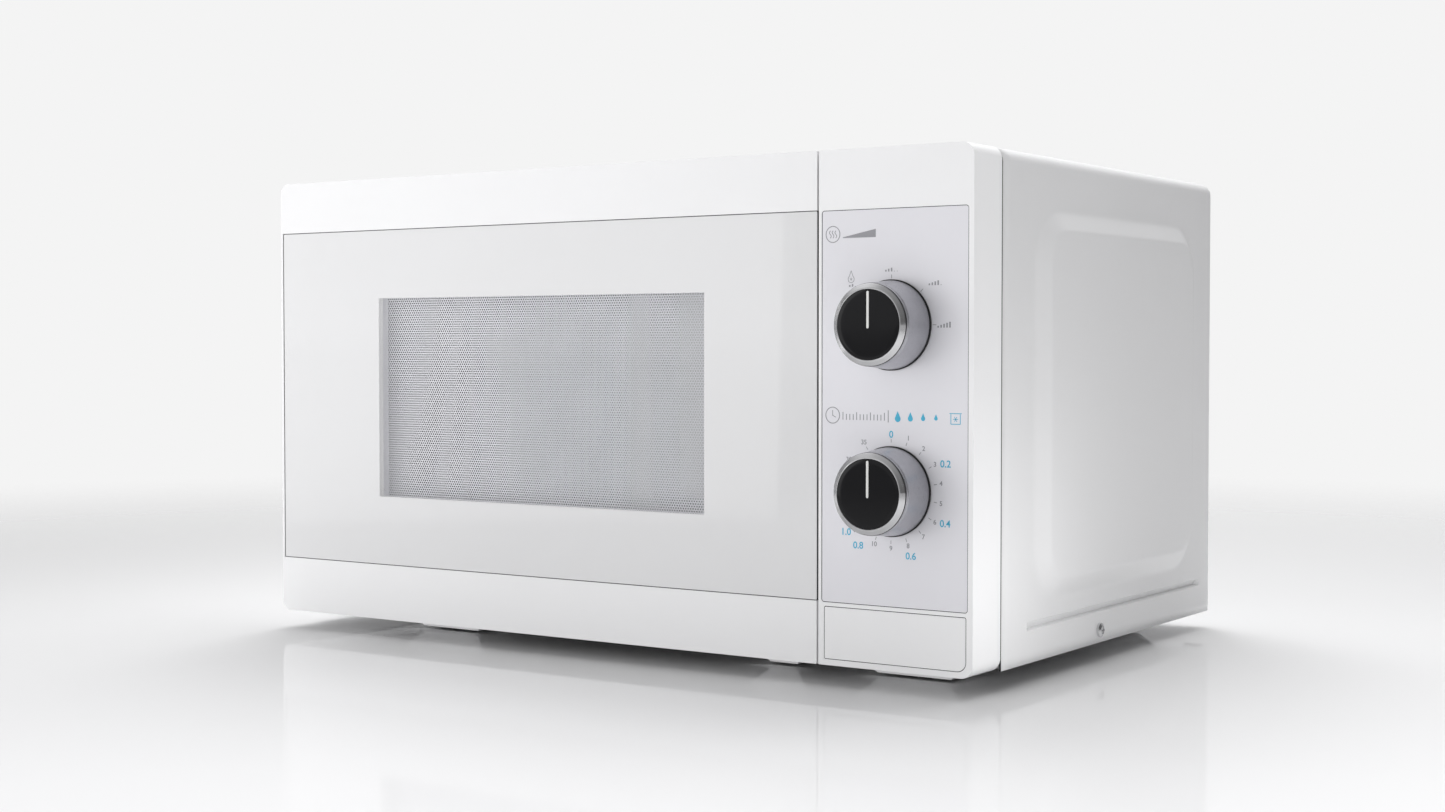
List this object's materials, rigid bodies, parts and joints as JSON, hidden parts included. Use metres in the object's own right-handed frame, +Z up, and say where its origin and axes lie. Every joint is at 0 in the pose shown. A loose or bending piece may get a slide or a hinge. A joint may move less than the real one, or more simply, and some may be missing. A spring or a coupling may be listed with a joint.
{
  "type": "microwave oven",
  "caption": "Countertop microwave oven with a side-hinged window door, push-button latch, dial controls and a rotating glass tray.",
  "frame": {"origin": "on the surface the oven stands on, under the centre of its bounding box", "axes": "+Z up, the front (door and knobs) faces -Y, +X towards the control panel, the longest side"},
  "size_m": [0.4474, 0.3346, 0.2518],
  "materials": {
    "white_enamel": "satin",
    "galvanised": "satin",
    "dark_rubber": "matte",
    "black_plastic": "matte",
    "bright_steel": "polished",
    "cavity_enamel": "satin",
    "mica": "matte",
    "white_plastic": "glossy",
    "door_glass": "clear",
    "screen_sheet": "satin",
    "painted_tray": "satin",
    "clear_film": "clear",
    "ivory_plastic": "satin",
    "spring_steel": "bright",
    "control_plate": "satin",
    "knob_skirt": "satin",
    "knob_cap": "glossy",
    "bell_brass": "bright",
    "core_steel": "satin",
    "copper_winding": "glossy",
    "aluminium_can": "satin",
    "copper_tube": "satin",
    "aluminium_fin": "bright",
    "tray_glass": "clear",
    "lamp_glass": "frosted",
    "circuit_board": "satin",
    "wire_insulation": "satin"
  },
  "bodies": {
    "housing": {"outer_casing": "white_enamel", "base_plate": "galvanised", "foot_pads": "dark_rubber", "back_panel": "galvanised", "cord_gland": "black_plastic", "casing_screws": "bright_steel", "front_plate": "white_enamel", "oven_cavity": "cavity_enamel", "waveguide": "galvanised", "waveguide_cover": "mica", "door_hinges": "galvanised", "control_panel": "white_plastic", "control_plate": "control_plate", "latch_board": "ivory_plastic", "door_switches": "black_plastic", "power_selector": "ivory_plastic", "timer_housing": "ivory_plastic", "timer_motor": "galvanised", "timer_bell": "bell_brass", "transformer_core": "core_steel", "primary_winding": "copper_winding", "secondary_winding": "copper_winding", "capacitor": "aluminium_can", "capacitor_clamp": "galvanised", "hv_diode": "black_plastic", "magnetron_yoke": "galvanised", "magnetron_tube": "copper_tube", "magnetron_fins": "aluminium_fin", "magnetron_filter_box": "galvanised", "fan_shroud": "ivory_plastic", "fan_motor": "core_steel", "turntable_motor": "galvanised", "lamp": "lamp_glass", "filter_board": "circuit_board", "thermal_cutout": "black_plastic", "wiring": "wire_insulation"},
    "door": {"door_frame": "white_plastic", "door_glass": "door_glass", "door_screen": "screen_sheet", "door_choke_frame": "painted_tray", "door_choke_cover": "white_plastic", "door_inner_film": "clear_film", "latch_spring": "spring_steel"},
    "latch": {"latch_hooks": "ivory_plastic"},
    "button": {"open_button": "white_plastic"},
    "lever": {"release_lever": "ivory_plastic", "lever_spring": "spring_steel"},
    "power_dial": {"power_knob": "knob_skirt", "power_knob_cap": "knob_cap", "power_shaft": "bright_steel"},
    "timer_dial": {"timer_knob": "knob_skirt", "timer_knob_cap": "knob_cap", "timer_shaft": "bright_steel"},
    "fan": {"fan_blade": "ivory_plastic"},
    "turntable": {"turntable_coupler": "ivory_plastic", "glass_tray": "tray_glass"},
    "ring": {"roller_ring": "ivory_plastic"},
    "roller_a": {"roller_a": "ivory_plastic"},
    "roller_b": {"roller_b": "ivory_plastic"},
    "roller_c": {"roller_c": "ivory_plastic"}
  },
  "joints": [
    {"name": "door_hinge", "type": "hinge", "parent": "housing", "child": "door", "pos_m": [-0.212, -0.12725, 0.1309], "axis": [0, 0, -1], "range_deg": [0, 95]},
    {"name": "power_knob_turn", "type": "hinge", "parent": "housing", "child": "power_dial", "pos_m": [0.1775, -0.14625, 0.1698], "axis": [0, 1, 0], "range_deg": [-90, 90]},
    {"name": "timer_knob_turn", "type": "hinge", "parent": "housing", "child": "timer_dial", "pos_m": [0.1775, -0.14625, 0.0932], "axis": [0, 1, 0], "range_deg": [0, 327]},
    {"name": "open_button_press", "type": "slide", "parent": "housing", "child": "button", "axis": [0, 1, 0], "range_m": [0, 0.005], "stiffness_N_per_m": 400, "springref_m": -0.003},
    {"name": "release_lever_turn", "type": "hinge", "parent": "housing", "child": "lever", "pos_m": [0.1428, -0.11225, 0.062], "axis": [1, 0, 0], "range_deg": [0, 12]},
    {"name": "latch_hook_lift", "type": "slide", "parent": "door", "child": "latch", "axis": [0, 0, 1], "range_m": [0, 0.0035], "deforming": ["latch_spring"]},
    {"name": "fan_spin", "type": "hinge", "parent": "housing", "child": "fan", "pos_m": [0.168, 0.11775, 0.15], "axis": [0, 1, 0], "continuous": true},
    {"name": "turntable_spin", "type": "hinge", "parent": "housing", "child": "turntable", "pos_m": [-0.037, 0.01375, 0.033], "axis": [0, 0, 1], "continuous": true},
    {"name": "roller_ring_spin", "type": "hinge", "parent": "housing", "child": "ring", "pos_m": [-0.037, 0.01375, 0.04105], "axis": [0, 0, 1], "continuous": true},
    {"name": "roller_a_spin", "type": "hinge", "parent": "ring", "child": "roller_a", "pos_m": [-0.037, 0.09875, 0.04105], "axis": [0, 1, 0], "continuous": true},
    {"name": "roller_b_spin", "type": "hinge", "parent": "ring", "child": "roller_b", "pos_m": [-0.11061, -0.02875, 0.04105], "axis": [-0.866, -0.5, 0], "continuous": true},
    {"name": "roller_c_spin", "type": "hinge", "parent": "ring", "child": "roller_c", "pos_m": [0.03661, -0.02875, 0.04105], "axis": [0.866, -0.5, 0], "continuous": true}
  ],
  "couplings": [
    {"joint": "release_lever_turn", "follows": "open_button_press", "rad_per_m": 36.652},
    {"joint": "latch_hook_lift", "follows": "open_button_press", "ratio": 0.6},
    {"joint": "roller_ring_spin", "follows": "turntable_spin", "ratio": 0.5},
    {"joint": "roller_a_spin", "follows": "turntable_spin", "ratio": -5.3125},
    {"joint": "roller_b_spin", "follows": "turntable_spin", "ratio": -5.3125},
    {"joint": "roller_c_spin", "follows": "turntable_spin", "ratio": -5.3125}
  ]
}
